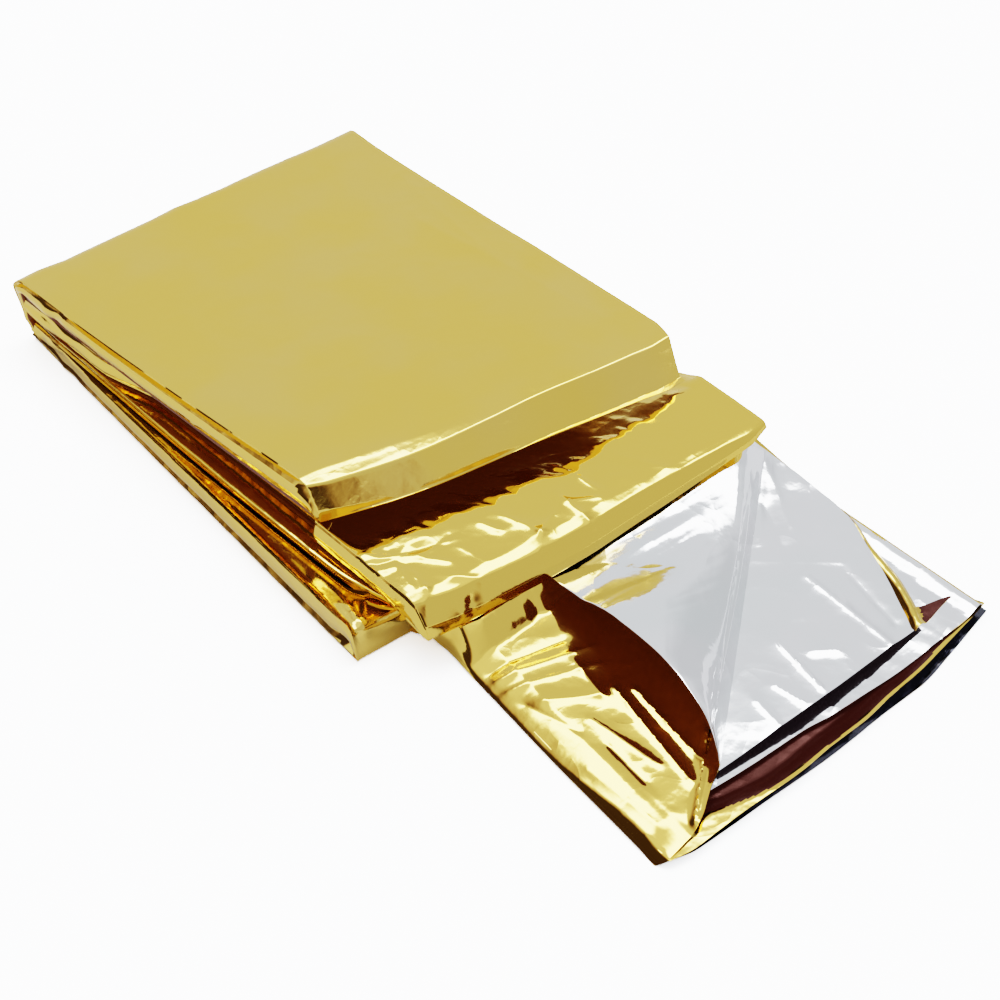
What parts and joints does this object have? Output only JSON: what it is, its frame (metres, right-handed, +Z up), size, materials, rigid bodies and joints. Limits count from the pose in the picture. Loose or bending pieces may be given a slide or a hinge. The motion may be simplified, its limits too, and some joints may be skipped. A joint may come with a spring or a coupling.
{
  "type": "folded emergency foil blanket",
  "caption": "Gold and silver rescue blanket of thin metallised film, folded to a narrow strip that lies back and forth in offset tiers, with a corner of its open end turned back.",
  "frame": {"origin": "on the surface the blanket lies on, under the middle of its box", "axes": "+X along the strip from the closed back to the open end, +Y across the strip, +Z up"},
  "size_m": [0.2096, 0.1086, 0.0263],
  "materials": {
    "gold_film": "polished",
    "silver_film": "polished"
  },
  "bodies": {
    "root": {"foil_blanket": "gold_film"}
  },
  "joints": []
}
